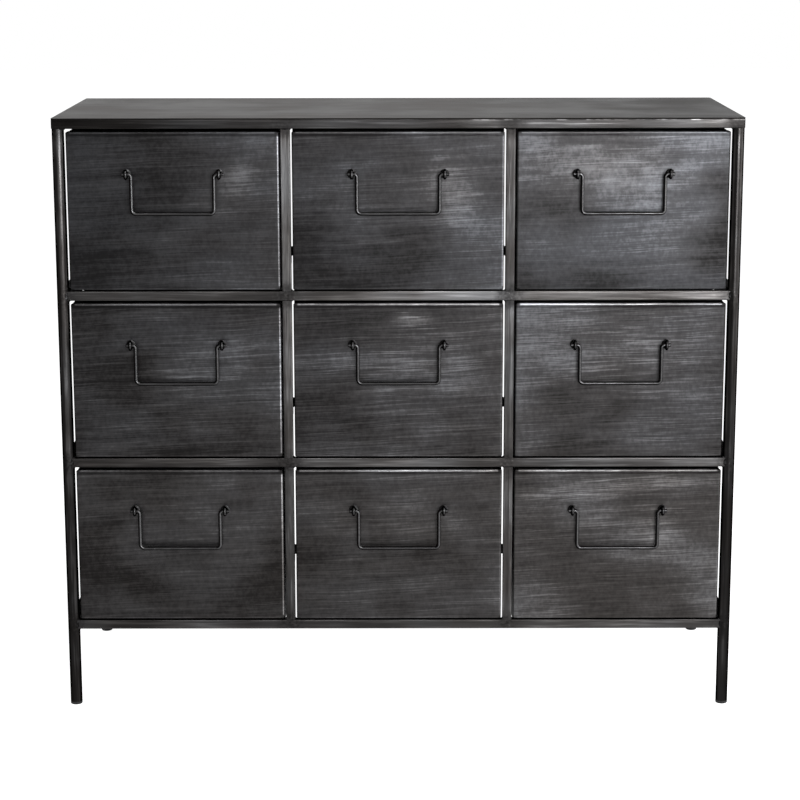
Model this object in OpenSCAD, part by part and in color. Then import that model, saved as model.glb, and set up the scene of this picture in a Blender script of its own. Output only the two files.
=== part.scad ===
// Small metal drawer cabinet. An open frame of square steel tube is welded between
// four round posts and topped with sheet steel. Nine folded-steel drawers slide on
// angle runners, and each has a wire bail hanging in two eye bolts.
// Millimetres. +X is to the right, +Y goes into the cabinet, +Z is up. The origin is
// on the floor, in the middle of the width and of the depth with the handles.

/* [Drawer openings] */
// Clear width of one drawer opening
opening_w = 297.5; // [220:0.5:380]
// Clear height of one drawer opening
opening_h = 226; // [170:0.5:300]

/* [Frame] */
// Depth of the top frame, from its front face to its back face
frame_depth = 360; // [300:1:480]
// Outside size of the square tube in the rails, dividers and top frame
tube_size = 13; // [11:0.5:15]
// Wall of the square tube
tube_wall = 1.2; // [0.8:0.1:2]
// Outside corner radius of the square tube
tube_corner = 1.5; // [0.8:0.1:2.5]
// Inside corner radius of the square tube
tube_inner_corner = 0.5; // [0.2:0.1:1.5]
// Outside diameter of the round posts
post_d = 17; // [14:0.5:22]
// Wall of the round posts
post_wall = 1.5; // [1:0.1:2.5]
// How far the top frame stands out past the posts on every side
top_overhang = 0; // [0:0.5:6]
// Height of the legs below the lowest rails
leg_below = 114; // [60:0.5:200]

/* [Top sheet and feet] */
// Thickness of the top sheet
top_sheet_t = 1.5; // [1:0.1:3]
// Radius to which the upright corners of the top are ground
top_corner = 3; // [1:0.5:6]
// Height of a foot plug's visible disc
foot_h = 4; // [2:0.5:8]
// Rounding of the foot's lower edge
foot_round = 1.2; // [0.5:0.1:1.9]
// Length of the foot plug's spigot inside the post
foot_spigot = 12; // [6:1:25]
// Clearance between the spigot and the bore of the post
foot_fit = 0.1; // [0.05:0.05:0.3]

/* [Runners] */
// Width of a runner's flange, on which the drawer slides
runner_w = 13; // [8:0.5:20]
// Height of a runner's web
runner_h = 13; // [8:0.5:20]
// Thickness of a runner
runner_t = 1.5; // [1:0.1:2.5]
// Gap between a runner's web and the side of the opening
runner_inset = 3.5; // [0.2:0.1:4]
// Gap between the closed drawer and the rear rail that stops it
stop_gap = 0.5; // [0.3:0.1:3]
// Gap between the drawer's skids and the runners
slide_gap = 0.3; // [0.2:0.1:1]

/* [Drawer front] */
// Gap beside the drawer front, on each side
front_side_gap = 2.2; // [2:0.1:8]
// Gap above the drawer front
front_top_gap = 4; // [2:0.5:8]
// Gap below the drawer front
front_bottom_gap = 1.8; // [1:0.1:8]
// Thickness of the front's sheet
front_sheet = 1.2; // [0.8:0.1:2]
// Depth of the edges folded back round the front
front_fold = 12; // [8:0.5:20]
// Outside radius of those folds
front_bend = 2.5; // [2.1:0.1:5]
// How far the front lies behind the faces of the rails
front_recess = 0.5; // [0:0.1:3]

/* [Drawer tray] */
// Thickness of the tray's sheet
tray_sheet = 0.8; // [0.6:0.1:1.5]
// How far the tray's rim lies below the top edge of the front
rim_drop = 1.5; // [1.5:0.5:60]
// Height of the safe edge folded over along the rim
rim_fold = 8; // [4:0.5:15]
// Gap between the skids and the front's bottom fold
skid_gap = 1; // [0.5:0.5:5]

/* [Handle] */
// Diameter of the bail's wire
bail_wire = 5; // [4:0.5:7]
// Drop of the bail, from its pivot to the middle of its bar
bail_drop = 54.5; // [35:0.5:80]
// Middle radius of the bends at the bail's bar
bail_bend = 6; // [4:0.5:12]
// Middle radius of the bends at the bail's ends
bail_end_bend = 4; // [2.8:0.1:7]
// Straight length of wire between an eye and the bend beside it
bail_shoulder = 0.8; // [0.3:0.1:6]
// How far the bail's ends stand out past the eyes
bail_end = 4; // [1:0.5:8]
// Chamfer on the bail's ends
bail_chamfer = 0.8; // [0.3:0.1:1.5]
// Distance between the two eyes
eye_spacing = 128; // [80:1:180]
// Diameter of the rod that the eye bolts are forged from
eye_wire = 4.5; // [2.5:0.5:5]
// Clearance between the bail's wire and the eye round it
eye_clearance = 0.3; // [0.2:0.1:1]
// Diameter of the eye bolt's flared collar, where it lies on the front
collar_d = 13; // [9:0.5:18]
// Diameter of that collar at the eye
collar_top_d = 8.5; // [6:0.5:12]
// Thickness of that collar
collar_t = 1.5; // [0.5:0.1:4]
// How deep the eye sinks into that collar
eye_sink = 0.4; // [0.1:0.1:1]
// Height of the pivot below the front's top edge
pivot_drop = 58; // [30:1:100]
// Diameter of the eye bolt's threaded shank
shank_d = 3.5; // [3:0.1:3.7]
// Clearance between an eye bolt's shank and its hole in the front
shank_clearance = 0.1; // [0.05:0.05:0.5]
// Width across the flats of the nut behind the front
nut_flats = 8; // [7:0.5:10]
// Height of that nut
nut_h = 3; // [2:0.5:6]
// Length of shank left past the nut
shank_end = 1.5; // [0.5:0.5:5]

/* [Hidden] */
$fn = 64;
rows = 3;
columns = 3;
drawers = [for (row = [1:rows], column = [1:columns]) [row, column]];

// Overall sizes
post_inset = top_overhang + post_d / 2;
total_w = columns * opening_w + (columns - 1) * tube_size + 2 * (post_d + top_overhang);
frame_top = leg_below + tube_size + rows * (opening_h + tube_size);
total_h = frame_top + top_sheet_t;
post_x = total_w / 2 - post_inset;

// Pivot in front of the drawer's face, and how far the handle stands out past the top
face_set = post_inset - tube_size / 2 + front_recess;
eye_radius = bail_wire / 2 + eye_clearance + eye_wire / 2;
eye_stand = collar_t - eye_sink + eye_radius + eye_wire / 2;
handle_out = eye_stand + eye_radius + eye_wire / 2 - face_set;

// Planes along Y
front_y = handle_out / 2 - frame_depth / 2;
rear_y = front_y + frame_depth;
front_post_y = front_y + post_inset;
rear_post_y = rear_y - post_inset;
face_y = front_y + face_set;
rail_back_y = front_post_y + tube_size / 2;

// Drawer, seen from the middle of its opening, its face and the rail below it
front_w = opening_w - 2 * front_side_gap;
front_h = opening_h - front_top_gap - front_bottom_gap;
tray_w = front_w - 2 * front_sheet;
tray_back = rear_post_y - tube_size / 2 - stop_gap - face_y;
floor_z = front_bottom_gap + front_sheet;
rim_z = front_bottom_gap + front_h - rim_drop;
skid_y = front_fold + skid_gap;
pivot_z = front_bottom_gap + front_h - pivot_drop;

// One drawer's pieces, from front to back
DRAWER_PARTS = ["front", "tray", "eyes", "bail"];

// Name of one piece of the drawer in a given row and column, such as tray_r1c2
function drawer_node(part, place) = str(part, "_r", place[0], "c", place[1]);

// Height of the rail on which a row stands; row 1 is the highest
function rail_top(row) = leg_below + tube_size + (rows - row) * (opening_h + tube_size);

// Middle of a column, from left to right
function column_x(column) = (column - (columns + 1) / 2) * (opening_w + tube_size);

// Middle of a divider, from left to right
function divider_x(index) = (index - columns / 2) * (opening_w + tube_size);

// ---------------------------------------------------------------- tubes

module rounded_rectangle(width, height, radius) {
    square([width - 2 * radius, height], center = true);
    square([width, height - 2 * radius], center = true);
    for (side = [-1, 1], end = [-1, 1])
        translate([side * (width / 2 - radius), end * (height / 2 - radius)])
            circle(r = radius);
}

module square_tube(length) {
    bore = tube_size - 2 * tube_wall;
    linear_extrude(length, center = true)
        difference() {
            rounded_rectangle(tube_size, tube_size, tube_corner);
            rounded_rectangle(bore, bore, tube_inner_corner);
        }
}

module tube_along_x(length) {
    rotate([90, 0, 90]) square_tube(length);
}

module tube_along_y(length) {
    rotate([90, 0, 0]) square_tube(length);
}

module at_posts() {
    for (x = [-post_x, post_x], y = [front_post_y, rear_post_y])
        translate([x, y, 0]) children();
}

// Takes the posts out of a tube's ends, so that the ends fit round them
module coped_to_posts() {
    difference() {
        children();
        at_posts() cylinder(d = post_d, h = total_h);
    }
}

// ---------------------------------------------------------------- top and posts

module top_outline() {
    translate([0, (front_y + rear_y) / 2])
        rounded_rectangle(total_w, frame_depth, top_corner);
}

module top_sheet() {
    color("#5a5651")
        translate([0, 0, frame_top])
            linear_extrude(top_sheet_t) top_outline();
}

// A bar of the top frame along X: outer face at y = 0, underside at z = 0, mitred ends
module mitred_bar(length) {
    intersection() {
        translate([0, tube_size / 2, tube_size / 2]) tube_along_x(length);
        linear_extrude(tube_size)
            polygon([
                [-length / 2, 0], [length / 2, 0],
                [length / 2 - tube_size, tube_size], [tube_size - length / 2, tube_size]
            ]);
    }
}

// The bar that faces the given way, with its outer corners ground to the top's outline
module top_bar(turn, length, reach) {
    color("#45423f")
        intersection() {
            translate([0, (front_y + rear_y) / 2, frame_top - tube_size])
                rotate([0, 0, turn])
                    translate([0, -reach, 0]) mitred_bar(length);
            translate([0, 0, frame_top - tube_size])
                linear_extrude(tube_size) top_outline();
        }
}

module post(x, y) {
    color("#3a3836")
        translate([x, y, foot_h])
            difference() {
                cylinder(d = post_d, h = frame_top - tube_size - foot_h);
                cylinder(d = post_d - 2 * post_wall, h = frame_top);
            }
}

module foot_plugs() {
    spigot_r = post_d / 2 - post_wall - foot_fit;
    color("#1f1e1d")
        at_posts() rotate_extrude() {
            square([post_d / 2 - foot_round, foot_h]);
            translate([0, foot_round]) square([post_d / 2, foot_h - foot_round]);
            translate([post_d / 2 - foot_round, foot_round]) circle(r = foot_round);
            translate([0, foot_h]) square([spigot_r, foot_spigot]);
        }
}

// ---------------------------------------------------------------- rails and dividers

// The rear half of each post's line, which the side rails take up
module side_rail_room() {
    for (x = [-post_x, post_x])
        translate([x - tube_size / 2, front_post_y, 0])
            cube([tube_size, frame_depth, total_h]);
}

module front_rail(row) {
    color("#4b4845")
        difference() {
            coped_to_posts()
                translate([0, front_post_y, rail_top(row) - tube_size / 2])
                    tube_along_x(2 * post_x);
            side_rail_room();
        }
}

// The rear rail lies on the runners, and stops the drawers
module rear_rail(row) {
    color("#4b4845")
        coped_to_posts()
            translate([0, rear_post_y, rail_top(row) + tube_size / 2])
                tube_along_x(2 * post_x);
}

module side_rails(x) {
    color("#4b4845")
        coped_to_posts()
            for (row = [1:rows])
                translate([x, (front_post_y + rear_post_y) / 2, rail_top(row) - tube_size / 2])
                    tube_along_y(rear_post_y - front_post_y);
}

module front_divider(x) {
    color("#504d49")
        for (row = [1:rows])
            translate([x, front_post_y, rail_top(row) + opening_h / 2])
                square_tube(opening_h);
}

// Behind, each upright stands on the rear rail of its row. Above it is the rear rail
// of the next row or, in the top row, the rear bar of the top frame.
module rear_dividers() {
    color("#504d49")
        for (x = [divider_x(1), divider_x(2)], row = [1:rows]) {
            foot = rail_top(row) + tube_size;
            head = row == 1 ? frame_top - tube_size : rail_top(row - 1);
            translate([x, rear_post_y, (foot + head) / 2]) square_tube(head - foot);
        }
}

// ---------------------------------------------------------------- runners

// An angle from the front rail to the back of the rear rail, with its web outwards
module runner() {
    length = rear_post_y + tube_size / 2 - rail_back_y;
    translate([0, rail_back_y, -runner_t]) cube([runner_w, length, runner_t]);
    translate([0, rail_back_y, -runner_h]) cube([runner_t, length, runner_h]);
}

module runners(row) {
    reach = opening_w / 2 - runner_inset;
    color("#3d3b38")
        for (column = [1:columns], side = [0, 1])
            translate([column_x(column), 0, rail_top(row)])
                mirror([side, 0, 0])
                    translate([-reach, 0, 0]) runner();
}

// ---------------------------------------------------------------- drawers

module in_opening(place) {
    translate([column_x(place[1]), face_y, rail_top(place[0])]) children();
}

// One folded edge along X: the bend and the flange behind it
module folded_edge(length) {
    rotate([90, 0, 90])
        linear_extrude(length, center = true) {
            intersection() {
                translate([front_bend, front_bend])
                    difference() {
                        circle(r = front_bend);
                        circle(r = front_bend - front_sheet);
                    }
                square(front_bend);
            }
            translate([front_bend, 0]) square([front_fold - front_bend, front_sheet]);
        }
}

// The welded and ground corner between two bends
module closed_corner() {
    intersection() {
        difference() {
            sphere(r = front_bend);
            sphere(r = front_bend - front_sheet);
        }
        translate([-front_bend, -front_bend, -front_bend]) cube(front_bend);
    }
}

module folded_panel() {
    flat_w = front_w - 2 * front_bend;
    flat_h = front_h - 2 * front_bend;
    translate([-flat_w / 2, 0, -flat_h / 2]) cube([flat_w, front_sheet, flat_h]);
    for (turn = [0, 180])
        rotate([0, turn, 0]) translate([0, 0, -front_h / 2]) folded_edge(flat_w);
    for (turn = [90, 270])
        rotate([0, turn, 0]) translate([0, 0, -front_w / 2]) folded_edge(flat_h);
    for (flip_x = [0, 1], flip_z = [0, 1])
        mirror([flip_x, 0, 0]) mirror([0, 0, flip_z])
            translate([-flat_w / 2, front_bend, -flat_h / 2]) closed_corner();
}

module at_eyes() {
    for (side = [-1, 1])
        translate([side * eye_spacing / 2, 0, pivot_z]) children();
}

module drawer_front(place) {
    color("#4e4c4b")
        in_opening(place)
            difference() {
                translate([0, 0, front_bottom_gap + front_h / 2]) folded_panel();
                at_eyes()
                    rotate([90, 0, 0])
                        cylinder(d = shank_d + 2 * shank_clearance, h = 2 * front_bend,
                                 center = true);
            }
}

// Side wall of the tray. Behind the front's fold it reaches down to the runner, and
// there it is folded double as a skid. A safe edge is folded inwards along its rim.
module tray_side() {
    rotate([90, 0, 90])
        linear_extrude(tray_sheet)
            polygon([
                [front_bend, floor_z], [skid_y, floor_z], [skid_y, slide_gap],
                [tray_back, slide_gap], [tray_back, rim_z], [front_bend, rim_z]
            ]);
    translate([0, skid_y, slide_gap])
        cube([2 * tray_sheet, tray_back - skid_y, floor_z - slide_gap]);
    translate([0, front_bend, rim_z - rim_fold])
        cube([2 * tray_sheet, tray_back - front_bend, rim_fold]);
}

module tray(place) {
    inside_w = tray_w - 2 * tray_sheet;
    color("#403e3c")
        in_opening(place) {
            for (side = [0, 1])
                mirror([side, 0, 0]) translate([-tray_w / 2, 0, 0]) tray_side();
            translate([-tray_w / 2, front_bend, floor_z])
                cube([tray_w, tray_back - front_bend, tray_sheet]);
            translate([-inside_w / 2, tray_back - tray_sheet, floor_z])
                cube([inside_w, tray_sheet, rim_z - floor_z]);
            translate([-inside_w / 2, tray_back - 2 * tray_sheet, rim_z - rim_fold])
                cube([inside_w, 2 * tray_sheet, rim_fold]);
        }
}

// A forged eye on a flared collar, with its shank through the front
module eye_bolt() {
    translate([0, -eye_stand, 0])
        rotate([0, 90, 0])
            rotate_extrude() translate([eye_radius, 0]) circle(d = eye_wire);
    translate([0, -collar_t, 0])
        rotate([-90, 0, 0]) {
            cylinder(d1 = collar_top_d, d2 = collar_d, h = collar_t);
            cylinder(d = shank_d, h = collar_t + front_sheet + nut_h + shank_end);
        }
}

module nut() {
    translate([0, front_sheet, 0])
        rotate([-90, 0, 0])
            linear_extrude(nut_h)
                difference() {
                    circle(d = nut_flats / cos(30), $fn = 6);
                    circle(d = shank_d + 2 * shank_clearance);
                }
}

module eyes(place) {
    color("#5c5a58")
        in_opening(place) at_eyes() {
            eye_bolt();
            nut();
        }
}

// A quarter bend of the bail's wire in the XZ plane, from the given angle onwards
module wire_bend(radius, from) {
    rotate([90, 0, 0])
        rotate([0, 0, from])
            rotate_extrude(angle = 90) translate([radius, 0]) circle(d = bail_wire);
}

// Right half of the bail, hanging from its pivot at z = 0
module half_bail() {
    leg_x = eye_spacing / 2 - eye_wire / 2 - bail_shoulder - bail_end_bend;
    end_x = eye_spacing / 2 + eye_wire / 2 + bail_end - bail_chamfer;
    end_run = end_x - leg_x - bail_end_bend;
    rotate([0, 90, 0]) {
        translate([0, 0, leg_x + bail_end_bend]) cylinder(d = bail_wire, h = end_run);
        translate([0, 0, end_x])
            cylinder(d1 = bail_wire, d2 = bail_wire - 2 * bail_chamfer, h = bail_chamfer);
    }
    translate([leg_x + bail_end_bend, 0, -bail_end_bend]) wire_bend(bail_end_bend, 90);
    translate([leg_x, 0, bail_bend - bail_drop])
        cylinder(d = bail_wire, h = bail_drop - bail_bend - bail_end_bend);
    translate([leg_x - bail_bend, 0, bail_bend - bail_drop]) wire_bend(bail_bend, 270);
    translate([0, 0, -bail_drop])
        rotate([0, 90, 0]) cylinder(d = bail_wire, h = leg_x - bail_bend);
}

module bail(place) {
    color("#8a8884")
        in_opening(place)
            translate([0, -eye_stand, pivot_z])
                for (side = [0, 1])
                    mirror([side, 0, 0]) half_bail();
}

// ---------------------------------------------------------------- nodes

top_sheet();
top_bar(0, total_w, frame_depth / 2);  // top_bar_front
top_bar(180, total_w, frame_depth / 2);  // top_bar_rear
top_bar(270, frame_depth, total_w / 2);  // top_bar_left
top_bar(90, frame_depth, total_w / 2);  // top_bar_right
post(-post_x, front_post_y);  // post_front_left
post(post_x, front_post_y);  // post_front_right
post(-post_x, rear_post_y);  // post_rear_left
post(post_x, rear_post_y);  // post_rear_right
foot_plugs();
front_divider(divider_x(1));  // front_divider_left
front_divider(divider_x(2));  // front_divider_right
rear_dividers();
side_rails(-post_x);  // side_rails_left
side_rails(post_x);  // side_rails_right
for (row = [1:rows]) {
    front_rail(row);
    rear_rail(row);
    runners(row);
}
for (place = drawers) {
    drawer_front(place);
    tray(place);
    eyes(place);
    bail(place);
}
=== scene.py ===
# %% [markdown]
# # A low cabinet of nine steel drawers
# The frame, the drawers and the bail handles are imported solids, and they stay exactly as they are. This
# lesson adds what solids can't carry: the finish of hand-brushed, blackened steel, the weld beads at the
# joints, the light and the camera. The solids could be redrawn here, but then two models would have to be
# kept alike.

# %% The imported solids
import math

import bpy
import numpy as np
from mathutils import Matrix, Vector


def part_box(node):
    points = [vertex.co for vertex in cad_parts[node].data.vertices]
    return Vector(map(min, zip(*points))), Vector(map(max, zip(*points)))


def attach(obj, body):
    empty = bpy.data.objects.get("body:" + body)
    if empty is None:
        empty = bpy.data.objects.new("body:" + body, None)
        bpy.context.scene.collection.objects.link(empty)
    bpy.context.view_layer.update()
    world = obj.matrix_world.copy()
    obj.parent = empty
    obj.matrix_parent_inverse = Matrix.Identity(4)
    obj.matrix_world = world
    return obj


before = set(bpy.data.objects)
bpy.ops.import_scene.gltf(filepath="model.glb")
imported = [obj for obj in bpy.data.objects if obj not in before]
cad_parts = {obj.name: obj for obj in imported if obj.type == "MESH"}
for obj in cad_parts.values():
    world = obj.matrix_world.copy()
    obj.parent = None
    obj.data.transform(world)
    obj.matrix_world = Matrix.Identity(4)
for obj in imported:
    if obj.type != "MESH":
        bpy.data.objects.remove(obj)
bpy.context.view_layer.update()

ROWS = COLUMNS = (1, 2, 3)
scene = bpy.context.scene

# %% [markdown]
# ## Where things are
# A welded frame is a small set of lines: the middles of its posts, rails and uprights. The beads sit
# where those lines meet, and so does the mottle round them. The lines could be typed in, but reading them
# from the solids keeps them right when a size changes.

# %% The frame's lines, in metres
def middle(node, axis):
    """The middle of a solid along one axis: half of its lowest plus its highest coordinate."""
    low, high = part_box(node)
    return (low[axis] + high[axis]) / 2


FRONT_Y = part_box("top_bar_front")[0].y
TOP_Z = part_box("top_sheet")[1].z
SEAM_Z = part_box("top_bar_front")[1].z
BAR_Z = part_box("top_bar_front")[0].z
POST_X = middle("post_front_right", 0)
POST_Y = (middle("post_front_left", 1), middle("post_rear_left", 1))
POST_R = POST_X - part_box("post_front_right")[0].x
DIVIDER_X = middle("front_divider_right", 0)
RAIL_Z = [middle(f"front_rail_{row}", 2) for row in ROWS]
REAR_RAIL_Z = [middle(f"rear_rail_{row}", 2) for row in ROWS]
HALF_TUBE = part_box("front_rail_1")[1].z - RAIL_Z[0]
print(f"posts at x {POST_X:.3f}, uprights at x {DIVIDER_X:.4f}, rails at z {[round(z, 4) for z in RAIL_Z]}")

# %% [markdown]
# ## Camera
# A camera at eye height of a seated person looks a little down on the cabinet, so the top shows as a thin
# wedge. A long lens from three metres keeps the posts almost parallel. A closer, wider lens would also
# fit the cabinet in, but it would make the legs lean together.

# %% Camera
SENSOR_MM, LENS_MM = 36, 100.2
# Where it stands: right of the middle, in front of the front edge and above the top, in metres
TO_THE_RIGHT, IN_FRONT, ABOVE = 0.0021, 3.0615, 0.261
DOWN_DEGREES, ROLL_DEGREES = 12.09, -0.08
camera_data = bpy.data.cameras.new("camera")
camera_data.sensor_width = SENSOR_MM
camera_data.lens = LENS_MM
camera = bpy.data.objects.new("camera", camera_data)
scene.collection.objects.link(camera)
camera.location = (TO_THE_RIGHT, FRONT_Y - IN_FRONT, TOP_Z + ABOVE)
pitch = Matrix.Rotation(math.radians(90 - DOWN_DEGREES), 3, "X")
roll = Matrix.Rotation(math.radians(ROLL_DEGREES), 3, "Z")
camera.rotation_euler = (pitch @ roll).to_euler()
scene.camera = camera
print(f"camera {-camera.location.y:.3f} m in front, {camera.location.z:.3f} m up")

# %% [markdown]
# ## Node helpers
# Every finish below is a tree of nodes. Built by hand in the editor, each would take minutes and drift
# apart. A few short functions that add a node and fill its sockets keep the trees readable, and alike.

# %% Adding nodes
def feed(tree, socket, value):
    """Links a socket to another one, or sets it to a plain value."""
    if isinstance(value, bpy.types.NodeSocket):
        tree.links.new(value, socket)
    else:
        socket.default_value = value


def add(tree, kind, feeds=(), **settings):
    """Adds a shader node of this kind, with its settings and its inputs by name or number."""
    made = tree.nodes.new("ShaderNode" + kind)
    for name, value in settings.items():
        setattr(made, name, value)
    for name, value in dict(feeds).items():
        feed(tree, made.inputs[name], value)
    return made


def calc(tree, operation, *values):
    """One Math node: operation on one, two or three numbers."""
    return add(tree, "Math", enumerate(values), operation=operation).outputs[0]


def vector(tree, operation, *values):
    """One Vector Math node; a length or a dot product comes out as a number."""
    made = add(tree, "VectorMath", enumerate(values), operation=operation)
    return made.outputs["Value" if operation in ("LENGTH", "DOT_PRODUCT") else "Vector"]


def place_on(tree):
    """The place on the object in metres, which rides along when the object moves."""
    return add(tree, "TexCoord").outputs["Object"]


def coordinates(tree, place):
    """The x, y and z of a place or a direction."""
    return add(tree, "SeparateXYZ", {0: place}).outputs


print("one-node helpers ready")

# %% Masks
def soft_step(tree, value, low, high, least=0.0, most=1.0):
    """least below low, most above high, and a smooth S between them."""
    made = add(tree, "MapRange", {"Value": value, "From Min": low, "From Max": high,
                                  "To Min": least, "To Max": most}, interpolation_type="SMOOTHSTEP")
    return made.outputs["Result"]


def noise(tree, place, seed, detail=2.0, roughness=0.5):
    """Four-dimensional noise, whose fourth coordinate is the seed, so that no two finishes repeat."""
    return add(tree, "TexNoise", {"Vector": place, "W": seed, "Scale": 1.0, "Detail": detail,
                                  "Roughness": roughness}, noise_dimensions="4D")


def turned_to(tree, direction, low, high):
    """1 where the surface faces a direction, 0 where it doesn't: a soft step of their dot product."""
    normal = add(tree, "TexCoord").outputs["Normal"]
    return soft_step(tree, vector(tree, "DOT_PRODUCT", normal, direction), low, high)


def leaned(tree, place, angle):
    """A place turned by an angle about the Y axis, the one that points into the cabinet."""
    return add(tree, "VectorRotate", {"Vector": place, "Angle": angle}, rotation_type="Y_AXIS").outputs[0]


print("mask helpers ready")

# %% Colours and groups
WHITE = (1, 1, 1, 1)


def blend(tree, factor, one, other, mode="MIX"):
    """Mixes two colours: one at factor 0, the other at factor 1."""
    made = add(tree, "Mix", {0: factor, 6: one, 7: other}, data_type="RGBA", blend_type=mode)
    return made.outputs[2]


def shades(tree, value, stops):
    """A colour ramp through (place, colour) stops: its two ends first, since a new ramp has those."""
    made = add(tree, "ValToRGB", {0: value})
    ramp = made.color_ramp
    for index, (place, colour) in enumerate(stops):
        stop = ramp.elements[index] if index < 2 else ramp.elements.new(place)
        stop.position = place
        stop.color = (*colour, 1.0)
    return made.outputs["Color"]


def new_group(name, inputs, outputs):
    """An empty node group with named sockets: inputs are (name, kind, value), and each output is a number."""
    tree = bpy.data.node_groups.new(name, "ShaderNodeTree")
    for title, kind, value in inputs:
        socket = tree.interface.new_socket(title, in_out="INPUT", socket_type="NodeSocket" + kind)
        socket.default_value = value
    for title in outputs:
        tree.interface.new_socket(title, in_out="OUTPUT", socket_type="NodeSocketFloat")
    return tree, tree.nodes.new("NodeGroupInput").outputs, tree.nodes.new("NodeGroupOutput").inputs


def placed(tree, group, **feeds):
    """The outputs of a node group that is placed in a tree, with its inputs fed by name."""
    return add(tree, "Group", feeds, node_tree=bpy.data.node_groups[group]).outputs


print("helpers for colours and groups ready")

# %% [markdown]
# ## World and floor
# Such a cabinet is shot on a white sweep. A world that is white for the camera and for reflections, and
# dimmer as a light, does the same. A real sweep could be modelled, but it would have to be huge to show
# no edge. The floor is a plane of its own, because it has to catch the cabinet's shadow.

# %% World
def seen_directly(tree):
    """1 for rays from the camera, off metal or through glass, 0 for soft light: the largest of the flags."""
    path = add(tree, "LightPath").outputs
    glossy = calc(tree, "MAXIMUM", path["Is Glossy Ray"], path["Is Transmission Ray"])
    return calc(tree, "MAXIMUM", path["Is Camera Ray"], glossy)


WORLD_LIGHT = 0.25
world = bpy.data.worlds.new("studio")
world.use_nodes = True
tree = world.node_tree
tree.nodes.clear()
soft = add(tree, "Background", {"Color": WHITE, "Strength": WORLD_LIGHT})
white = add(tree, "Background", {"Color": WHITE, "Strength": 1.0})
choice = add(tree, "MixShader", {0: seen_directly(tree), 1: soft.outputs[0], 2: white.outputs[0]})
add(tree, "OutputWorld", {"Surface": choice.outputs[0]})
scene.world = world
print(f"world: white to look at, {WORLD_LIGHT} as light")

# %% Floor
def grid(across, along):
    """Faces of a grid of across by along points: quads between neighbours, as an array of four columns."""
    index = np.arange(across * along).reshape(across, along)
    return np.stack([index[:-1, :-1], index[1:, :-1], index[1:, 1:], index[:-1, 1:]], -1).reshape(-1, 4)


def new_piece(name, points, faces, smooth=False):
    """A mesh object at the origin, from an array of points and an array of quads."""
    mesh = bpy.data.meshes.new(name)
    mesh.from_pydata(points.tolist(), [], faces.tolist())
    if smooth:
        mesh.shade_smooth()
    else:
        mesh.shade_flat()
    piece = bpy.data.objects.new(name, mesh)
    scene.collection.objects.link(piece)
    return piece


# How far the floor reaches aside, in front and behind, and how far under the feet it lies, in metres
FLOOR_ASIDE, FLOOR_IN_FRONT, FLOOR_BEHIND, FLOOR_DROP = 9, 9, 14, 0.0003
FLOOR_POINTS = 9
FLOOR_GREY, FLOOR_GLOW = (0.8, 0.8, 0.8, 1), 0.9
x, y = np.meshgrid(np.linspace(-FLOOR_ASIDE, FLOOR_ASIDE, FLOOR_POINTS),
                   np.linspace(-FLOOR_IN_FRONT, FLOOR_BEHIND, FLOOR_POINTS), indexing="ij")
floor_points = np.stack([x, y, 0 * x - FLOOR_DROP], -1).reshape(-1, 3)
floor = new_piece("floor", floor_points, grid(FLOOR_POINTS, FLOOR_POINTS))
floor_white = bpy.data.materials.new("floor_white")
floor_white.use_nodes = True
tree = floor_white.node_tree
tree.nodes.clear()
matte = add(tree, "BsdfDiffuse", {"Color": FLOOR_GREY})
glowing = calc(tree, "MULTIPLY", seen_directly(tree), FLOOR_GLOW)
glow = add(tree, "Emission", {"Color": WHITE, "Strength": glowing})
both = add(tree, "AddShader", {0: matte.outputs[0], 1: glow.outputs[0]})
add(tree, "OutputMaterial", {"Surface": both.outputs[0]})
floor.data.materials.append(floor_white)
print("floor: white, keeps a faint shadow")

# %% [markdown]
# ## Light
# Brushed steel shows its light as broad sheens. One big softbox stands at the right in front, so the
# right drawers are brighter. One hangs over the cabinet for the thin lines along the folded top edges,
# and one far right draws the lines down the folded sides and the posts. A weak, warm one at the left
# keeps that side from going black. Small lamps would give hard hot spots instead.

# %% Softboxes
def softbox(name, place, aim, width, height, watts, colour=(1, 1, 1)):
    """A rectangular area lamp at a place, turned so that its -Z axis points at the aim."""
    lamp = bpy.data.lights.new(name, "AREA")
    lamp.shape = "RECTANGLE"
    lamp.size, lamp.size_y, lamp.energy, lamp.color = width, height, watts, colour
    holder = bpy.data.objects.new(name, lamp)
    scene.collection.objects.link(holder)
    direction = np.array(aim, float) - np.array(place, float)
    holder.location = place
    flat = math.hypot(direction[0], direction[1])
    holder.rotation_euler = (math.atan2(flat, -direction[2]), 0, math.atan2(-direction[0], direction[1]))
    print(f"{name}: {watts} W, {width} by {height} m, radiance {watts / math.pi / width / height:.1f}")


softbox("key", place=(0.80, FRONT_Y - 2.1, 0.98), aim=(0.20, FRONT_Y, 0.50), width=0.9, height=0.9, watts=42,
        colour=(0.97, 0.985, 1.0))
softbox("overhead", place=(0.35, -0.75, 2.3), aim=(0.1, 0.0, 0.6), width=2.2, height=0.7, watts=26)
softbox("side", place=(2.3, -0.5, 0.9), aim=(0.2, -0.15, 0.5), width=0.9, height=1.6, watts=16)
softbox("fill", place=(-2.4, -1.9, 1.0), aim=(-0.2, -0.1, 0.4), width=1.0, height=1.4, watts=5,
        colour=(1.0, 0.97, 0.93))

# %% [markdown]
# ## Effects that the finishes share
# The steel was blackened in a bath, rubbed back by hand with an abrasive pad along each bar, and
# lacquered. That leaves fine hairlines, longer streaks, scratches and cloudy patches. One group makes
# them all from the place on the object, so every bar only says which way it was rubbed. A picture of
# brushed steel would be quicker, but it repeats, and it smears on the bends.

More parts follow.
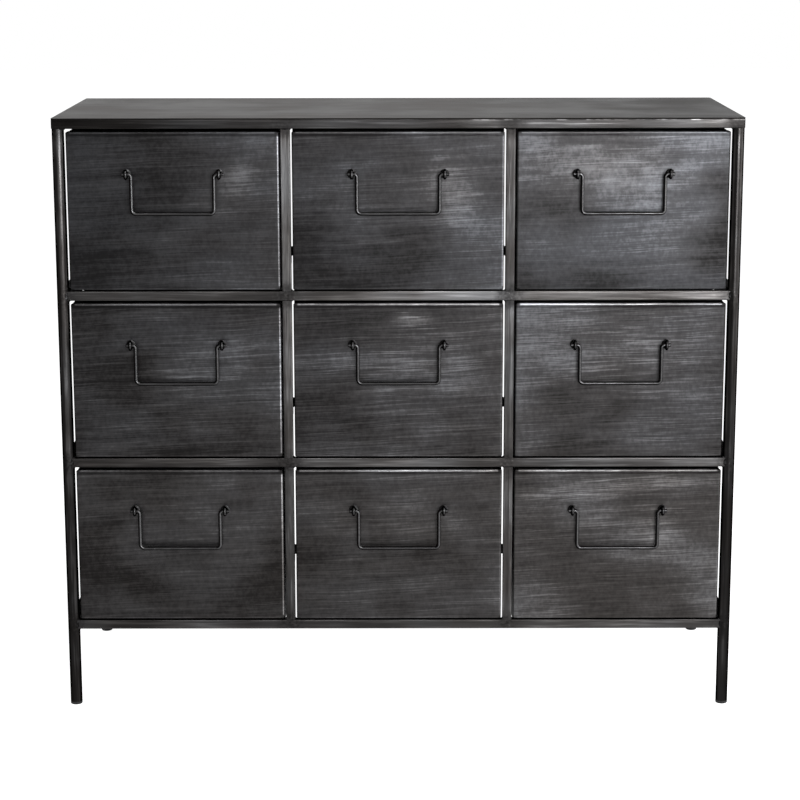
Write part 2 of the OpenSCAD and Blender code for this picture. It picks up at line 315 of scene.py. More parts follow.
# %% Brushed grain
# A mark is noise, sharpened by a soft step. Each row is its scale along x, y and z, its detail and
# roughness, and where the step starts and ends. The first four marks are drawn out along the grain, the
# others aren't.
DRAWN_OUT = {
    "Streaks": ((1, 1, 1), 2.0, 0.6, 0.42, 0.72),
    "Bands": ((0.5, 0.5, 0.22), 2.0, 0.5, 0.30, 0.70),
    "Hairlines": ((1.5, 1.5, 3.5), 1.0, 0.5, 0.30, 0.70),
    "Scratches": ((0.6, 0.6, 2.2), 1.0, 0.5, 0.58, 0.72),
}
MARKS = {
    **DRAWN_OUT,
    "Clouds": ((8, 8, 12), 3.0, 0.5, 0.32, 0.68),
    "Cross": ((190, 190, 150), 2.0, 0.6, 0.35, 0.65),
}
DRIFT_SCALE, NOISE_MIDDLE, SEED_STEP = (5, 5, 5), (0.5, 0.5, 0.5), 10.0
tree, given, out = new_group(
    "brushed_grain",
    [("Grain", "Vector", (10, 10, 260)), ("Seed", "Float", 0), ("Wander", "Float", 0.006),
     ("Lean", "Float", 0)],
    MARKS)
place = place_on(tree)
drift = noise(tree, vector(tree, "MULTIPLY", place, DRIFT_SCALE), given["Seed"]).outputs["Color"]
swing = vector(tree, "SUBTRACT", drift, NOISE_MIDDLE)
amount = add(tree, "CombineXYZ", {axis: given["Wander"] for axis in range(3)}).outputs[0]
wavy = vector(tree, "MULTIPLY_ADD", swing, amount, place)
along = vector(tree, "MULTIPLY", leaned(tree, wavy, given["Lean"]), given["Grain"])
for number, (mark, (scale, detail, roughness, low, high)) in enumerate(MARKS.items(), start=1):
    scaled = vector(tree, "MULTIPLY", along if mark in DRAWN_OUT else wavy, scale)
    seed = calc(tree, "ADD", given["Seed"], SEED_STEP * number)
    feed(tree, out[mark], soft_step(tree, noise(tree, scaled, seed, detail, roughness).outputs[0], low, high))
print("group brushed_grain:", ", ".join(MARKS))

# %% Worn edges and painted highlights
# 1 on the bends: worn edges, and a painted highlight along them
tree, given, out = new_group("worn_and_highlit_edges", [("Least", "Float", 0.03), ("Most", "Float", 0.16)], ["Edge"])
facing = vector(tree, "ABSOLUTE", add(tree, "TexCoord").outputs["Normal"])
parts = coordinates(tree, facing)
largest = calc(tree, "MAXIMUM", calc(tree, "MAXIMUM", parts[0], parts[1]), parts[2])
turned = calc(tree, "SUBTRACT", 1.0, largest)
feed(tree, out["Edge"], soft_step(tree, turned, given["Least"], given["Most"]))
print("group worn_and_highlit_edges: 1 where the surface turns between two flat sides")

# %% Rubbed patch
# How fine the patch's torn edge is along x, y and z, how far it is torn, and how far from its middle it
# ends; the last two are shares of its half size.
TEAR_SCALE, TEAR, PATCH_END = (30, 30, 110), 0.9, 1.25
tree, given, out = new_group(
    "rubbed_patch",
    [("Middle", "Vector", (0, 0, 0)), ("Size", "Vector", (0.05, 1, 0.03)), ("Lean", "Float", 0),
     ("Seed", "Float", 0)],
    ["Patch"])
place = place_on(tree)
offset = vector(tree, "SUBTRACT", place, given["Middle"])
shares = vector(tree, "DIVIDE", leaned(tree, offset, given["Lean"]), given["Size"])
reach = vector(tree, "LENGTH", shares)
ragged = noise(tree, vector(tree, "MULTIPLY", place, TEAR_SCALE), given["Seed"], 3.0, 0.6).outputs[0]
fuzzy = calc(tree, "MULTIPLY_ADD", calc(tree, "SUBTRACT", ragged, 0.5), TEAR, reach)
feed(tree, out["Patch"], soft_step(tree, fuzzy, 0.0, PATCH_END, 1.0, 0.0))
print("group rubbed_patch: a fuzzy, leaning oval, 1 in its middle")

# %% Near a joint
# A bar has up to four joints along its axis, and those that it lacks are far off. Near is 1 up to a tenth
# of the reach from a joint and 0 from one and a half times the reach on, torn by a noise.
JOINTS, FAR_OFF = ("First", "Second", "Third", "Fourth"), 9
MOTTLE_SCALE, EDGE_SCALE, EDGE_TEAR, NEAR_STEP = (260, 260, 260), (90, 90, 90), 1.4, (0.1, 1.5)
tree, given, out = new_group(
    "near_joint",
    [("Axis", "Vector", (1, 0, 0)), *[(joint, "Float", FAR_OFF) for joint in JOINTS],
     ("Reach", "Float", 0.02), ("Seed", "Float", 0)],
    ["Near", "Mottle", "Specks"])
place = place_on(tree)
here = vector(tree, "DOT_PRODUCT", place, given["Axis"])
away = [calc(tree, "ABSOLUTE", calc(tree, "SUBTRACT", here, given[joint])) for joint in JOINTS]
nearest = calc(tree, "MINIMUM", calc(tree, "MINIMUM", *away[:2]), calc(tree, "MINIMUM", *away[2:]))
blotch = noise(tree, vector(tree, "MULTIPLY", place, MOTTLE_SCALE), given["Seed"], 3.0, 0.65).outputs[0]
edge = noise(tree, vector(tree, "MULTIPLY", place, EDGE_SCALE), given["Seed"]).outputs[0]
share = calc(tree, "DIVIDE", nearest, given["Reach"])
ragged = calc(tree, "MULTIPLY_ADD", calc(tree, "SUBTRACT", edge, 0.5), EDGE_TEAR, share)
feed(tree, out["Near"], soft_step(tree, ragged, *NEAR_STEP, 1.0, 0.0))
feed(tree, out["Mottle"], soft_step(tree, blotch, 0.35, 0.65))
feed(tree, out["Specks"], soft_step(tree, blotch, 0.60, 0.72))
print("group near_joint: ground and mottled steel round the welds")

# %% [markdown]
# ## Blackened steel
# One recipe serves all the steel: a ramp from the black of the bath to the grey of the rubbed metal, driven
# by the grain. Edges go brighter, partly where the pad bites and partly as a painted highlight on the bends.
# Metal needs few numbers: a low base colour, a roughness of a third to a half, and a dark edge tint, which
# stops the round posts from glowing at their rims. A lacquer coat could be added, but on a satin finish it
# only washes the streaks out.

# %% Steel recipe
BLACK, DARK = (0.0040, 0.0039, 0.0039), (0.0105, 0.0102, 0.0103)
MID, LIGHT, BRIGHT = (0.036, 0.0352, 0.0355), (0.115, 0.114, 0.116), (0.40, 0.40, 0.405)
STEEL_RAMP = [(0.0, BLACK), (1.0, BRIGHT), (0.25, DARK), (0.5, MID), (0.75, LIGHT)]
BLUISH, BROWNISH = (0.96, 0.99, 1.05, 1), (1.06, 1.0, 0.95, 1)


def layered(tree, value, marks, **strengths):
    """The value, plus each mark named times its strength, which is a number or a socket."""
    for mark, strength in strengths.items():
        value = calc(tree, "MULTIPLY_ADD", marks[mark], strength, value)
    return value


def steel_colour(tree, value, tint=WHITE):
    """The colour of the steel's ramp at a value, 0 for black to 1 for bright, times a tint."""
    return blend(tree, 1.0, shades(tree, value, STEEL_RAMP), tint, "MULTIPLY")


print("steel from", BLACK, "to", BRIGHT)

# %% Steel surface
GROOVE_DEPTH = 0.0006


def steel(tree, shade, roughness, height, rim, bump=0.12):
    """Puts a metallic surface over a tree's colour, roughness and height sockets."""
    relief = add(tree, "Bump", {"Height": height, "Strength": bump, "Distance": GROOVE_DEPTH}).outputs[0]
    surface = add(tree, "BsdfPrincipled", {"Base Color": shade, "Metallic": 1.0, "Roughness": roughness,
                                           "Specular Tint": (rim, rim, rim, 1), "Normal": relief})
    add(tree, "OutputMaterial", {"Surface": surface.outputs[0]})


def new_finish(name):
    """An empty material with nodes, and its tree."""
    material = bpy.data.materials.new(name)
    material.use_nodes = True
    material.node_tree.nodes.clear()
    return material, material.node_tree


def wear(node, material):
    """Gives a solid one material in all its slots."""
    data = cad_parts[node].data
    data.materials.clear()
    data.materials.append(material)


print(f"steel surface: grooves of up to {GROOVE_DEPTH * 1000:.1f} mm")

# %% [markdown]
# ## The frame's tubes
# Rails, posts and uprights were rubbed along their length, and their welds ground flush and rubbed again,
# which leaves the steel darker and mottled round each joint. So each kind of bar gets its own material,
# which knows the direction of the bar and the places of its joints. One material for the whole frame
# would cross the grain.

# %% Tube finish
# How light the tubes are before their marks, how far a joint's mottle reaches in metres, and how much higher
# its relief is than the hairlines'
TUBE_VALUE, JOINT_REACH, MOTTLE_HEIGHT = 0.14, 0.018, 1.6


def tube_finish(name, grain, axis, joints, seed, lift=0.0, slope=(0, 0, 0), bright=None, gloss=0.40, rim=0.10,
                sooty=0.7, burnt=0.16):
    """Brushed along a tube, mottled near its joints. The lift makes the whole tube lighter or darker, the
    slope makes it lighter along a vector, and bright is a function that adds a mask to the value: ground
    dashes, or painted light and shade. Sooty is how much of the joints' mottle shows, and burnt how light its
    ground is."""
    material, tree = new_finish(name)
    marks = placed(tree, "brushed_grain", Grain=grain, Seed=seed, Wander=0.002)
    places = dict(zip(JOINTS, joints))
    weld = placed(tree, "near_joint", Axis=axis, Reach=JOINT_REACH, Seed=seed, **places)
    edges = placed(tree, "worn_and_highlit_edges", Least=0.05, Most=0.25)
    value = calc(tree, "ADD", vector(tree, "DOT_PRODUCT", place_on(tree), slope), TUBE_VALUE + lift)
    value = layered(tree, value, marks, Bands=0.16, Streaks=0.16, Hairlines=0.08, Clouds=0.14)
    ground = layered(tree, burnt, weld, Mottle=0.22, Specks=0.20)
    value = add(tree, "Mix", {0: calc(tree, "MULTIPLY", weld["Near"], sooty), 2: value, 3: ground}).outputs[0]
    value = layered(tree, value, edges, Edge=0.10)
    if bright:
        value = calc(tree, "ADD", value, bright(tree))
    shade = steel_colour(tree, value, blend(tree, marks["Clouds"], BROWNISH, WHITE))
    roughness = layered(tree, layered(tree, gloss, marks, Streaks=-0.06), weld, Near=0.15)
    rough_near = calc(tree, "MULTIPLY", weld["Near"], MOTTLE_HEIGHT)
    height = layered(tree, marks["Hairlines"], weld, Mottle=rough_near)
    steel(tree, shade, roughness, height, rim)
    return material


print(f"tube finish: mottled up to about {NEAR_STEP[1] * JOINT_REACH * 1000:.0f} mm from a joint")

# %% Ground dashes, and painted light and shade on posts and rails
# The dashes on the top bar: how far below its upper edge they start and are whole, how far right of the
# middle they are whole, and their scale along the bar. Then how long the bar's black left end is. In
# metres, but for the scale, which is in waves to the metre.
DASH_STRIP, DASH_RIGHT, DASH_SCALE, BLACK_END = (0.0024, 0.0010), 0.12, (45, 5, 5), 0.06
# How much lighter or darker it gets: in a dash, at the black end, on the painted highlight down a post at its
# foot and its top, and on the painted shade of a post's outer side
DASH_LIGHT, END_DARK, PAINTED_STRIPE_LIGHT, PAINTED_OUTER_SHADE = 0.30, -0.16, (0.04, 0.36), -0.16
# From where to where the rails get lighter, a painted light, in shares of an upright's distance from the
# middle
LIGHTER_FROM, LIGHTER_TO = -1.3, -0.5


def seam_dashes(tree):
    """Spots ground bright along the top bar's upper edge: a mask of height, times one of place along the bar,
    times a noise that breaks it into dashes. Its left end is darker."""
    place = place_on(tree)
    x, y, z = coordinates(tree, place)
    high = soft_step(tree, z, *(SEAM_Z - below for below in DASH_STRIP))
    right = soft_step(tree, x, 0.0, DASH_RIGHT)
    broken = noise(tree, vector(tree, "MULTIPLY", place, DASH_SCALE), 31.0, 2.0, 0.6).outputs[0]
    dash = soft_step(tree, broken, 0.44, 0.62, 0.0, DASH_LIGHT)
    black = soft_step(tree, x, BLACK_END - POST_X, -POST_X, 0.0, END_DARK)
    return calc(tree, "MULTIPLY_ADD", calc(tree, "MULTIPLY", high, right), dash, black)


def painted_post_light(tree, sideways, outward):
    """A painted highlight: a lighter line down the front of a post, a little right of its middle, which fades
    towards the foot. Less a painted shade on its outer side."""
    fading = soft_step(tree, coordinates(tree, place_on(tree))[2], 0.0, TOP_Z, *PAINTED_STRIPE_LIGHT)
    painted_stripe = calc(tree, "MULTIPLY", turned_to(tree, (sideways, -0.95, 0), 0.84, 0.98), fading)
    return calc(tree, "MULTIPLY_ADD", turned_to(tree, (outward, 0, 0), 0.35, 0.85), PAINTED_OUTER_SHADE, painted_stripe)


def painted_light_right(tree, rise):
    """Painted light: lighter right of the left upright, a soft step of the place along the rail, from just
    left of the upright to halfway to the middle."""
    x = coordinates(tree, place_on(tree))[0]
    return soft_step(tree, x, LIGHTER_FROM * DIVIDER_X, LIGHTER_TO * DIVIDER_X, 0.0, rise)


print(f"dashes in the upper {DASH_STRIP[0] * 1000:.1f} mm of the top bar, right of its middle")

# %% The frame's finishes
ALONG_X, ALONG_Y, ALONG_Z = (10, 300, 300), (300, 10, 300), (300, 300, 10)
UP_JOINTS = (*RAIL_Z, BAR_Z + HALF_TUBE)
RAIL_JOINTS = (-POST_X, -DIVIDER_X, DIVIDER_X, POST_X)
side_rail = tube_finish("side_rail_steel", ALONG_Y, (0, 1, 0), POST_Y, seed=4.0, lift=0.03)
# The top bar's slope is painted light: lighter to the right, towards the key softbox
top_bar = tube_finish("top_bar_steel", ALONG_X, (1, 0, 0), RAIL_JOINTS, seed=1.0, lift=0.02,
                      slope=(0.25, 0, 0), bright=seam_dashes, sooty=0.4)
# Rails: painted light makes each one lighter right of the left upright, by its rise
for row, lift, rise in ((1, 0.09, 0.155), (2, 0.065, 0.105), (3, 0.065, 0.045)):
    rail = tube_finish(f"rail_steel_{row}", ALONG_X, (1, 0, 0), RAIL_JOINTS, seed=10.0 + row, lift=lift,
                       bright=lambda tree: painted_light_right(tree, rise))
    wear(f"front_rail_{row}", rail)
    wear(f"rear_rail_{row}", rail)
for side, seed, lift, upwards in (("left", 2.0, -0.045, 0.42), ("right", 2.5, 0.18, -0.08)):
    upright = tube_finish(f"upright_steel_{side}", ALONG_Z, (0, 0, 1), UP_JOINTS, seed, lift, (0, 0, upwards))
    wear(f"front_divider_{side}", upright)
# Posts: a painted highlight down the front and painted shade on the outer side
for side, seed, lift, sideways, outward in (("left", 3.0, -0.14, 0.18, -1), ("right", 3.5, -0.22, 0.34, 1)):
    post = tube_finish(f"post_steel_{side}", ALONG_Z, (0, 0, 1), UP_JOINTS, seed, lift, slope=(0, 0, 0.06),
                       bright=lambda tree: painted_post_light(tree, sideways, outward), gloss=0.32, rim=0.0,
                       burnt=0.02)
    for node in (f"post_front_{side}", f"post_rear_{side}"):
        wear(node, post)
    for node in (f"side_rails_{side}", f"top_bar_{side}"):
        wear(node, side_rail)
for node in ("top_bar_front", "top_bar_rear"):
    wear(node, top_bar)
wear("rear_dividers", upright)  # the right-hand upright's finish, for both sides
print("tubes finished")

# %% [markdown]
# ## Weld beads
# The tubes are held by short welds: melted steel swells out of the corner between two faces and freezes
# in ripples. They could be a bump in the tubes' material, but they show as lumps against the light gaps,
# so they are surfaces. One formula carries a swollen profile along the line of any corner. Where two
# faces lie flush, as those of an upright and a rail do, the grinder left no bead.

# %% Bead surface
# A bead's shape: points from wall to wall, and the two quads that close an end of these and the sunk point;
# how far it swells out and is sunk, in shares of its width; the least of its rounding, before the root; and
# the waves along it, with how much each widens it.
RING_POINTS, CAP = 5, [[0, 1, 2, 3], [0, 3, 4, 5]]
SWELL, SUNK = 0.5, 0.25
LEAST_ROUNDING, WAVES, RIPPLE = 0.08, (1, 2.3, 5.2), 0.09


def bead(path, one, other, size, seed):
    """A swollen strip along a corner, as points and quads. Each ring runs from one wall to the other,
    pushed out by a parabola, and back through a point sunk in the corner. Its width along each wall is
    the size, times a rounding towards both ends (the root of one minus the cube of how far it is from the
    middle), times one plus a few cosines of random phase."""
    one, other = np.broadcast_to(one, path.shape), np.broadcast_to(other, path.shape)
    along = np.linspace(0, 1, len(path))
    rounding = np.maximum(1 - np.abs(2 * along - 1) ** 3, LEAST_ROUNDING) ** 0.5
    phases = np.random.default_rng(seed).uniform(0, 2 * np.pi, 3)
    ripple = sum(np.cos(2 * np.pi * waves * along + phase) for waves, phase in zip(WAVES, phases))
    width = (size * rounding * (1 + RIPPLE * ripple))[:, None, None]
    across = np.linspace(0, 1, RING_POINTS)[None, :, None]
    swell = SWELL * across * (1 - across)
    walls = (1 - across + swell) * one[:, None] + (across + swell) * other[:, None]
    sunk = -SUNK * (one + other)[:, None]
    points = (path[:, None] + width * np.concatenate([walls, sunk], 1)).reshape(-1, 3)
    index = np.arange(len(points)).reshape(len(path), -1)
    after = np.roll(index, -1, 1)
    sides = np.stack([index[:-1], index[1:], after[1:], after[:-1]], -1).reshape(-1, 4)
    caps = np.concatenate([ring[CAP] for ring in (index[0], index[-1, ::-1])])
    faces = np.concatenate([sides, caps])
    a, b, c, d = np.moveaxis(points[faces] - points.mean(0), 1, 0)
    volume = np.sum(a * np.cross(b, c)) + np.sum(a * np.cross(c, d))
    return points, faces if volume > 0 else faces[:, ::-1]


def line(start, end, count=12):
    """Evenly spaced points from start to end."""
    return np.linspace(np.array(start, float), np.array(end, float), count)


X, Y, Z = np.eye(3)
ROUNDED_CORNER = 0.0015
FLAT = HALF_TUBE - ROUNDED_CORNER
print("a bead has", len(bead(line(X, Y), X, Z, 1, 0)[1]), "quads")

# %% Beads round a tube's end
# How wide the beads are along each wall, in metres, and how much wider they are down a tube's flat face
RAIL_BEAD, SIDE_RAIL_BEAD, UPRIGHT_BEAD = 0.0017, 0.0016, 0.0019
UNDER_BAR_BEAD, POST_BEAD, RUNNER_BEAD = 0.0015, 0.0018, 0.0016
FACE_WIDER, ARC_POINTS = 1.3, 14
BOTH_WAYS = (-1, 1)


def coped_beads(centre, out, side, faces, size, seed):
    """Beads where a tube leaves a post along out, from a centre inside the post. Over its top and bottom
    they follow the cut, an arc at the post's radius; down a flat face they are upright, between that face
    and the tangent of the post."""
    offset = np.linspace(-FLAT, FLAT, ARC_POINTS)[:, None]
    radial = (np.sqrt(POST_R ** 2 - offset ** 2) * out + offset * side) / POST_R
    beads = [bead(centre + POST_R * radial + up * HALF_TUBE * Z, radial, up * Z, size, seed + up + 1)
             for up in BOTH_WAYS]
    depth = math.sqrt(POST_R ** 2 - HALF_TUBE ** 2)
    for face in faces:
        corner = centre + depth * out + face * HALF_TUBE * side
        tangent = (face * depth * side - HALF_TUBE * out) / POST_R
        upright_line = line(corner - FLAT * Z, corner + FLAT * Z)
        beads.append(bead(upright_line, out, tangent, FACE_WIDER * size, seed + 5 + face))
    return beads


def upright_beads(x, y, foot, head, seed):
    """Beads along both sides of an upright, at its foot and at its head."""
    return [bead(line((x + side * HALF_TUBE, y - FLAT, z), (x + side * HALF_TUBE, y + FLAT, z)),
                 side * X, up * Z, UPRIGHT_BEAD, seed + 3 * side + up + 4)
            for z, up in ((foot, 1), (head, -1)) for side in BOTH_WAYS]


print(f"beads of {UNDER_BAR_BEAD * 1000:.1f} to {FACE_WIDER * RAIL_BEAD * 1000:.1f} mm along each wall")

# %% Weld steel
WELD_VALUE, WELD_ROUGHNESS = 0.08, 0.5


def weld_finish():
    """Dark, mottled steel with bright specks, where the wheel touched the bead's top."""
    material, tree = new_finish("weld_steel")
    marks = placed(tree, "near_joint", Seed=11.0)
    value = layered(tree, WELD_VALUE, marks, Mottle=0.30, Specks=0.45)
    roughness = layered(tree, WELD_ROUGHNESS, marks, Specks=-0.2)
    steel(tree, steel_colour(tree, value), roughness, marks["Mottle"], rim=0.05, bump=0.5)
    return material


def weld_piece(name, beads):
    """Joins beads into one piece of the frame; each bead's corner numbers move up by the points before it."""
    starts = np.cumsum([0] + [len(points) for points, faces in beads])
    piece = new_piece(name, np.concatenate([points for points, faces in beads]),
                      np.concatenate([faces + start for (points, faces), start in zip(beads, starts)]),
                      smooth=True)
    piece.data.materials.append(weld_steel)
    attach(piece, "frame")
    print(f"{name}: {len(beads)} beads, {len(piece.data.polygons)} quads")


weld_steel = weld_finish()
print("weld steel ready")

# %% The welds at the front
beads = []
for sign in BOTH_WAYS:
    for z in RAIL_Z:
        centre = np.array((sign * POST_X, POST_Y[0], z))
        beads += coped_beads(centre, -sign * X, Y, (-1,), RAIL_BEAD, len(beads))
weld_piece("welds_front_posts", beads)

beads = []
front = POST_Y[0] - HALF_TUBE
for sign in BOTH_WAYS:
    x = sign * DIVIDER_X
    for foot, head in zip(RAIL_Z, [BAR_Z, *[z - HALF_TUBE for z in RAIL_Z]]):
        beads += upright_beads(x, POST_Y[0], foot + HALF_TUBE, head, len(beads))
    under_bar = line((x - FLAT, front, BAR_Z), (x + FLAT, front, BAR_Z))
    beads.append(bead(under_bar, -Y, -Z, UNDER_BAR_BEAD, len(beads)))
weld_piece("welds_front_uprights", beads)

# %% The welds at the back and the sides
beads = []
for sign in BOTH_WAYS:
    for z in REAR_RAIL_Z:
        centre = np.array((sign * POST_X, POST_Y[1], z))
        beads += coped_beads(centre, -sign * X, Y, BOTH_WAYS, RAIL_BEAD, len(beads))
    for foot, head in zip(REAR_RAIL_Z, [BAR_Z, *[z - HALF_TUBE for z in REAR_RAIL_Z]]):
        beads += upright_beads(sign * DIVIDER_X, POST_Y[1], foot + HALF_TUBE, head, len(beads))
weld_piece("welds_rear", beads)

beads = []
for sign in BOTH_WAYS:
    for y, inward in zip(POST_Y, (Y, -Y)):
        for z in RAIL_Z:
            centre = np.array((sign * POST_X, y, z))
            beads += coped_beads(centre, inward, X, BOTH_WAYS, SIDE_RAIL_BEAD, len(beads))
weld_piece("welds_side_rails", beads)

# %% The welds under the top and at the runners
# The bead at a post's head goes round its inner side, by these angles from the line to the other post: a
# little less outwards than inwards.
HEAD_TURN, HEAD_POINTS = (-70, 82), 18
turn = np.radians(np.linspace(*HEAD_TURN, HEAD_POINTS))[:, None]
beads = []
for sign in BOTH_WAYS:
    for y, inward in zip(POST_Y, (1, -1)):
        radial = -sign * np.cos(turn) * X + inward * np.sin(turn) * Y
        rim_line = np.array((sign * POST_X, y, BAR_Z)) + POST_R * radial
        beads.append(bead(rim_line, radial, -Z, POST_BEAD, len(beads)))
weld_piece("welds_top_frame", beads)

# A runner is welded to the back of the front rail, up to this share of the flat above its middle, and to
# the underside of the rear rail.
UP_THE_FLAT, RUNNER_POINTS = 0.7, 8
RUNNER_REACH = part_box("runners_1")[1].x - middle("front_r1c3", 0)
back = POST_Y[0] + HALF_TUBE
beads = []
for z in RAIL_Z:
    for column in COLUMNS:
        for side in BOTH_WAYS:
            web = middle(f"front_r1c{column}", 0) + side * RUNNER_REACH
            front_line = line((web, back, z - FLAT), (web, back, z + UP_THE_FLAT * FLAT), RUNNER_POINTS)
            beads.append(bead(front_line, side * X, Y, RUNNER_BEAD, len(beads)))
            rear_ends = [(web, POST_Y[1] + end * FLAT, z + HALF_TUBE) for end in BOTH_WAYS]
            beads.append(bead(line(*rear_ends, RUNNER_POINTS), side * X, -Z, RUNNER_BEAD, len(beads)))
weld_piece("welds_runners", beads)

# %% [markdown]
# ## The top sheet
# The top is one flat sheet, rubbed from side to side. Its front edge is darker, and the smoke of the bath
# shows as broad bands. Its right-hand end is darker too, a painted reflection. It could share the tubes'
# finish, but it is larger, warmer and glossier than they are.

# %% Top sheet
TOP_LEFT_VALUE, TOP_RIGHT_VALUE, TOP_ROUGHNESS = 0.46, 0.28, 0.30
FRONT_EDGE_DARK = -0.45


def top_finish():
    """Brushed from side to side, with broad smoky bands, and darker from its middle to its right-hand end, a
    painted reflection. The side that faces forwards is darker."""
    material, tree = new_finish("top_sheet_steel")
    marks = placed(tree, "brushed_grain", Grain=(8, 330, 330), Seed=5.0, Wander=0.008)
    edges = placed(tree, "worn_and_highlit_edges", Least=0.02, Most=0.2)
    x = coordinates(tree, place_on(tree))[0]
    # Painted reflection: darker from the middle to the right-hand end
    value = soft_step(tree, x, 0.0, POST_X, TOP_LEFT_VALUE, TOP_RIGHT_VALUE)
    value = layered(tree, value, marks, Clouds=0.14, Bands=0.10, Streaks=0.08, Hairlines=0.08, Scratches=0.10)
    value = layered(tree, value, edges, Edge=0.1)
    value = calc(tree, "MULTIPLY_ADD", turned_to(tree, (0, -1, 0), 0.3, 0.8), FRONT_EDGE_DARK, value)
    roughness = layered(tree, TOP_ROUGHNESS, marks, Clouds=0.14)
    relief = layered(tree, calc(tree, "ADD", marks["Streaks"], marks["Clouds"]), marks, Bands=2.0)
    steel(tree, steel_colour(tree, value, BROWNISH), roughness, relief, rim=0.50, bump=0.3)
    return material


wear("top_sheet", top_finish())
print("top sheet finished")

# %% [markdown]
# ## The drawer fronts
# Each front was rubbed by hand before its drawer was welded, so no two match: the streaks lean and wander
# a little, and where the pad lingered, often beside an eye, there is a lighter patch. One function makes
# a front's material from a seed and a row of its own: how light and how coarse it is, and its few
# patches.

# %% Painted light on the bent edges
# How far in from the edge of a front things are, in metres, as where a soft step starts and ends: the painted
# highlights on its bends, the painted shadow strip below the upper one, and the corners, where the highlights
# end. Then how deep on its folded sides the highlights reach.
BEND_HIGHLIGHT, SHADY_STRIP, BARE_CORNER = (0.0034, 0.0020), (0.0075, 0.0055), (0.007, 0.004)
LINE_DEPTH = (0.004, 0.008)
# The painted shadow below the upper edge, and the painted highlight on the lower bend
SHADY, LOWER_BEND_HIGHLIGHT = -0.15, 0.12


def painted_bend_light(tree, value, place, half, upper, right):
    """The value with a painted shadow, a darker strip below the upper edge, and with painted highlights along
    the upper, right-hand and lower bends, as strong as upper and right say. A highlight is a soft step
    towards its edge, times one that ends it short of the corners, times one that ends it a few millimetres
    down the folded side. The place is counted from the middle of the front, and half is half its size."""
    x, y, z = place
    strip = soft_step(tree, z, *(half.z - inside for inside in SHADY_STRIP))
    value = calc(tree, "MULTIPLY_ADD", strip, SHADY, value)
    shallow = soft_step(tree, y, *(depth - half.y for depth in LINE_DEPTH), 1.0, 0.0)
    upper_bend = (z, half.z, x, half.x, 1, upper - SHADY)
    right_bend = (x, half.x, z, half.z, 1, right)
    lower_bend = (z, half.z, x, half.x, -1, LOWER_BEND_HIGHLIGHT)
    for outward, reach, sideways, length, sign, strength in (upper_bend, right_bend, lower_bend):
        towards = calc(tree, "MULTIPLY", outward, sign)
        bend = soft_step(tree, towards, *(reach - inside for inside in BEND_HIGHLIGHT))
        from_middle = calc(tree, "ABSOLUTE", sideways)
        short = soft_step(tree, from_middle, *(length - inside for inside in BARE_CORNER), 1.0, 0.0)
        lit = calc(tree, "MULTIPLY", calc(tree, "MULTIPLY", bend, short), shallow)
        value = calc(tree, "MULTIPLY_ADD", lit, strength, value)
    return value


print(f"bent edges: dark strip {max(SHADY_STRIP) * 1000:.1f} mm deep under the bright upper bend")

# %% Front finish
FRONT_VALUE, FRONT_ROUGHNESS = 0.058, 0.46
# How high over the floor the steel starts to look cooler, and where it is coolest
COOLER = (0.15, 0.75)


def front_finish(name, seed, box, lift, coarse, bend_highlights, painted_slopes, patches):
    """Brushed from side to side in wandering streaks, and coarse says how strongly they show. The bend
    highlights are the strengths of the painted highlights on the top edge and on the right-hand one, and the
    painted slopes how much lighter the sheet gets to the right and upwards over half its size, a painted
    sheen. Patches are (across, up, half width, half height, lean, strength), where across and up are shares
    of half the front, from its middle."""
    material, tree = new_finish(name)
    low, high = box
    centre, half = (low + high) / 2, (high - low) / 2
    marks = placed(tree, "brushed_grain", Grain=(12, 12, 470), Seed=seed, Wander=0.011, Lean=0.045)
    place = place_on(tree)
    x, y, z = coordinates(tree, vector(tree, "SUBTRACT", place, tuple(centre)))
    # Painted sheen: lighter to the right and upwards over each front
    value = calc(tree, "MULTIPLY_ADD", x, painted_slopes[0] / half.x, FRONT_VALUE + lift)
    value = calc(tree, "MULTIPLY_ADD", z, painted_slopes[1] / half.z, value)
    value = layered(tree, value, marks, Bands=0.06, Clouds=0.18, Scratches=0.08, Cross=0.06,
                    Hairlines=0.12 * coarse)
    deep = layered(tree, 0.09 * coarse, marks, Clouds=0.05 * coarse)
    value = layered(tree, value, marks, Streaks=deep)
    streaked = layered(tree, 1 - 0.4 * coarse ** 2, marks, Streaks=0.9 * coarse ** 2)
    for number, (across, up, wide, tall, lean, strength) in enumerate(patches):
        spot = (centre.x + across * half.x, FRONT_Y, centre.z + up * half.z)
        patch = placed(tree, "rubbed_patch", Middle=spot, Size=(wide, 1.0, tall), Lean=lean,
                       Seed=seed + number)[0]
        value = calc(tree, "MULTIPLY_ADD", calc(tree, "MULTIPLY", patch, strength), streaked, value)
    value = painted_bend_light(tree, value, (x, y, z), half, *bend_highlights)
    cool = layered(tree, soft_step(tree, coordinates(tree, place)[2], *COOLER, 0.0, 0.5), marks, Clouds=0.5)
    shade = steel_colour(tree, value, blend(tree, cool, BROWNISH, BLUISH))
    roughness = layered(tree, FRONT_ROUGHNESS, marks, Clouds=-0.05, Streaks=-0.06)
    steel(tree, shade, roughness, marks["Hairlines"], rim=0.25, bump=0.10)
    return material


print(f"front finish: cooler from {COOLER[0]} m to {COOLER[1]} m over the floor")
